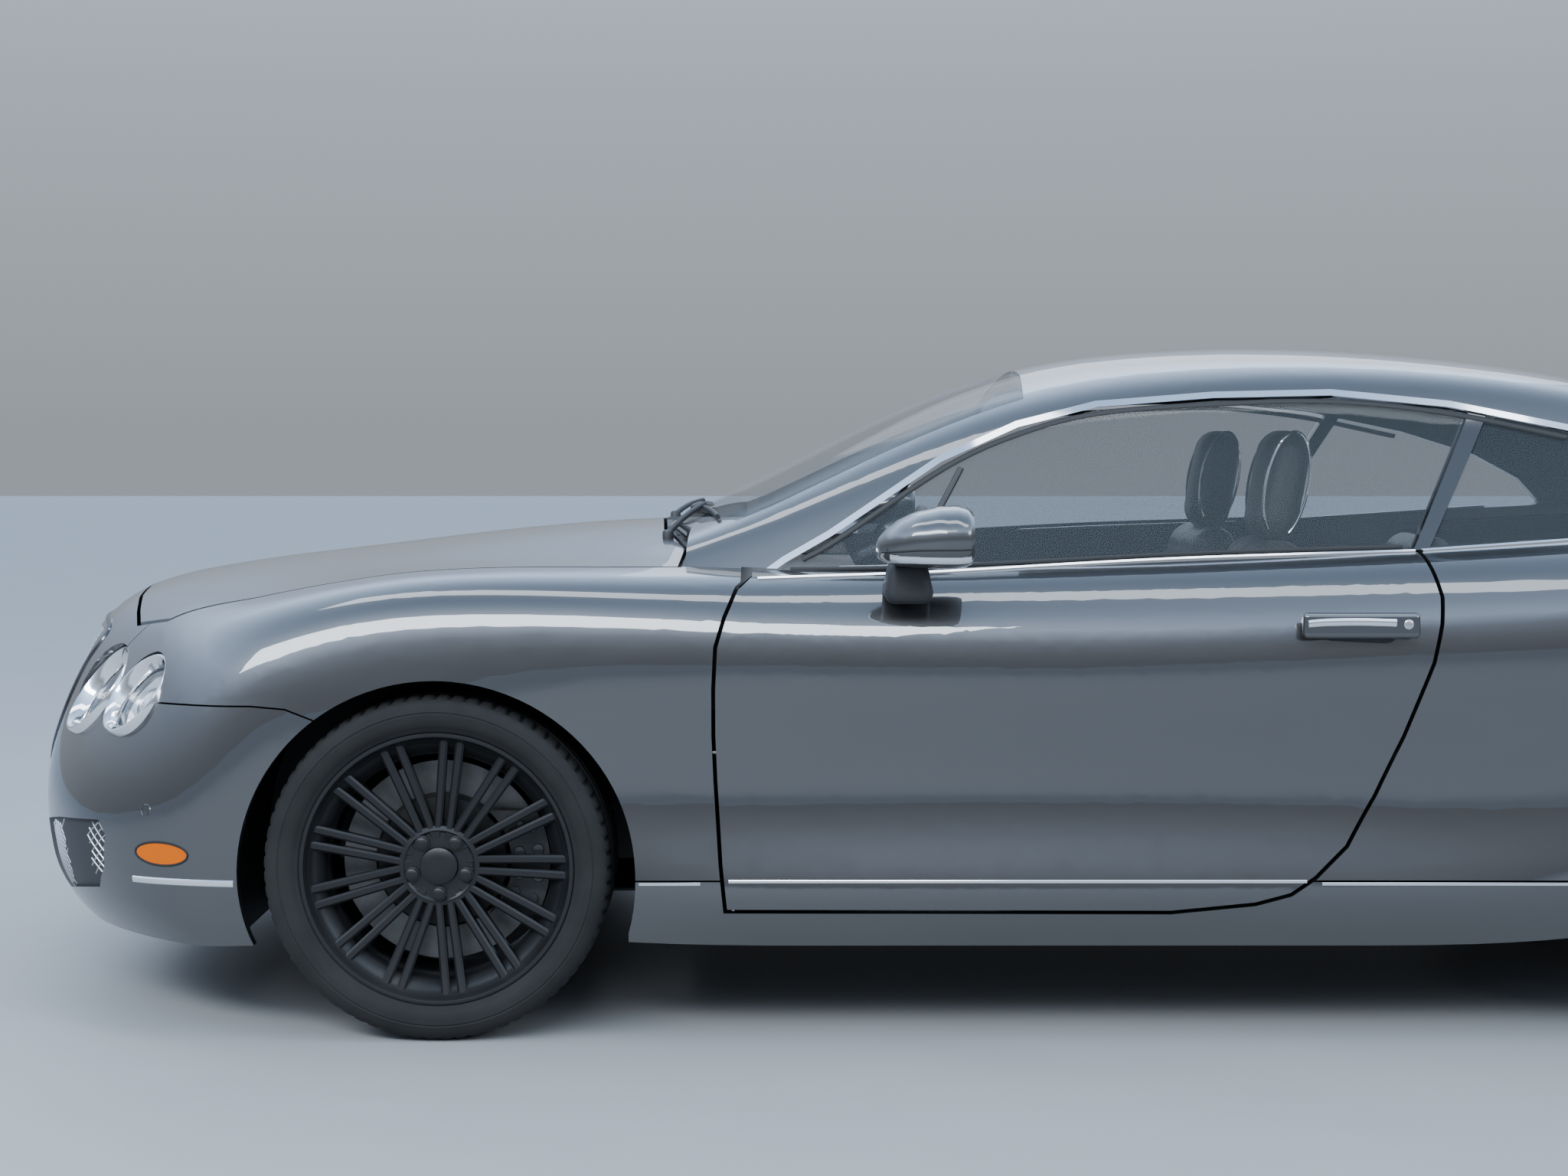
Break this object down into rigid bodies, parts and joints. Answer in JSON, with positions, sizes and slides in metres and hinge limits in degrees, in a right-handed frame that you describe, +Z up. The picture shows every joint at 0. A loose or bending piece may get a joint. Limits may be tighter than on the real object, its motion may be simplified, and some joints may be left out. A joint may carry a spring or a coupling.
{
  "type": "two-door grand touring coupe car",
  "caption": "Dark grey two-door coupe car with round twin headlamps, multi-spoke wheels, opening doors, bonnet and boot lid, steering front wheels and a full cabin.",
  "frame": {"origin": "bottom centre of the bounding box: on the ground, mid length, centre line", "axes": "+X towards the tail, +Y to the car's right side, +Z up; the nose points along -X"},
  "size_m": [4.8236, 2.2608, 1.3987],
  "materials": {
    "paint": "gloss",
    "trim_bright": "polished",
    "glass_tint": "gloss",
    "lamp_clear": "gloss",
    "lamp_red": "gloss",
    "lamp_amber": "gloss",
    "plastic_black": "matte",
    "rim_black": "satin",
    "tyre": "matte",
    "disc": "satin",
    "steel_dark": "satin",
    "aluminium": "satin",
    "leather": "satin",
    "mesh": "satin",
    "plate": "satin",
    "underbody": "matte"
  },
  "bodies": {
    "body": {"front_bumper": "paint", "front_wings": "paint", "cowl": "plastic_black", "sills": "paint", "rear_bumper": "paint", "rear_quarters": "paint", "roof_and_pillars": "paint", "windscreen": "glass_tint", "rear_window": "glass_tint", "quarter_glass": "glass_tint", "window_bars": "plastic_black", "window_brightwork": "trim_bright", "headlamps": "lamp_clear", "grilles": "mesh", "tail_lamps": "lamp_red", "side_markers": "lamp_amber", "carriers_rear": "steel_dark", "suspension": "steel_dark", "floor": "underbody", "undertrays": "underbody", "arch_liners": "plastic_black", "engine_block": "aluminium", "front_seats": "leather", "rear_seats": "leather", "dashboard": "leather", "centre_console": "leather", "exhaust_tips": "trim_bright", "number_plates": "plate"},
    "bonnet": {"bonnet": "paint"},
    "boot_lid": {"boot_lid": "paint"},
    "door_left": {"door_left": "paint", "door_glass_left": "glass_tint", "mirror_left": "paint", "door_handle_left": "trim_bright"},
    "door_right": {"door_right": "paint", "door_glass_right": "glass_tint", "mirror_right": "paint", "door_handle_right": "trim_bright"},
    "knuckle_left": {"knuckle_front_left": "steel_dark"},
    "knuckle_right": {"knuckle_front_right": "steel_dark"},
    "steering_wheel": {"steering_wheel": "leather"},
    "wheel_front_left": {"rim_front_left": "rim_black", "tyre_front_left": "tyre", "brake_disc_front_left": "disc"},
    "wheel_front_right": {"rim_front_right": "rim_black", "tyre_front_right": "tyre", "brake_disc_front_right": "disc"},
    "wheel_rear_left": {"rim_rear_left": "rim_black", "tyre_rear_left": "tyre", "brake_disc_rear_left": "disc"},
    "wheel_rear_right": {"rim_rear_right": "rim_black", "tyre_rear_right": "tyre", "brake_disc_rear_right": "disc"}
  },
  "joints": [
    {"name": "steer_left", "type": "hinge", "parent": "body", "child": "knuckle_left", "pos_m": [-1.452, -0.7255, 0.345], "axis": [0, 0, 1], "range_deg": [-30, 30]},
    {"name": "steer_right", "type": "hinge", "parent": "body", "child": "knuckle_right", "pos_m": [-1.452, 0.7255, 0.345], "axis": [0, 0, 1], "range_deg": [-30, 30]},
    {"name": "steering_wheel_turn", "type": "hinge", "parent": "body", "child": "steering_wheel", "pos_m": [-0.392, -0.39, 0.864], "axis": [0.9207, 0, 0.3903], "range_deg": [-360, 360]},
    {"name": "door_left_open", "type": "hinge", "parent": "body", "child": "door_left", "pos_m": [-0.832, -0.945, 0.5], "axis": [0, 0, -1], "range_deg": [0, 62]},
    {"name": "door_right_open", "type": "hinge", "parent": "body", "child": "door_right", "pos_m": [-0.832, 0.945, 0.5], "axis": [0, 0, 1], "range_deg": [0, 62]},
    {"name": "bonnet_open", "type": "hinge", "parent": "body", "child": "bonnet", "pos_m": [-0.972, 0, 1.024], "axis": [0, 1, 0], "range_deg": [0, 45]},
    {"name": "boot_lid_open", "type": "hinge", "parent": "body", "child": "boot_lid", "pos_m": [1.846, 0, 1.086], "axis": [0, -1, 0], "range_deg": [0, 65]},
    {"name": "wheel_front_left_spin", "type": "hinge", "parent": "knuckle_left", "child": "wheel_front_left", "pos_m": [-1.452, -0.8115, 0.345], "axis": [0, 1, 0], "continuous": true},
    {"name": "wheel_front_right_spin", "type": "hinge", "parent": "knuckle_right", "child": "wheel_front_right", "pos_m": [-1.452, 0.8115, 0.345], "axis": [0, 1, 0], "continuous": true},
    {"name": "wheel_rear_left_spin", "type": "hinge", "parent": "body", "child": "wheel_rear_left", "pos_m": [1.293, -0.8035, 0.345], "axis": [0, 1, 0], "continuous": true},
    {"name": "wheel_rear_right_spin", "type": "hinge", "parent": "body", "child": "wheel_rear_right", "pos_m": [1.293, 0.8035, 0.345], "axis": [0, 1, 0], "continuous": true}
  ],
  "couplings": [
    {"joint": "steer_right", "follows": "steer_left", "ratio": 1},
    {"joint": "steering_wheel_turn", "follows": "steer_left", "ratio": 12}
  ]
}
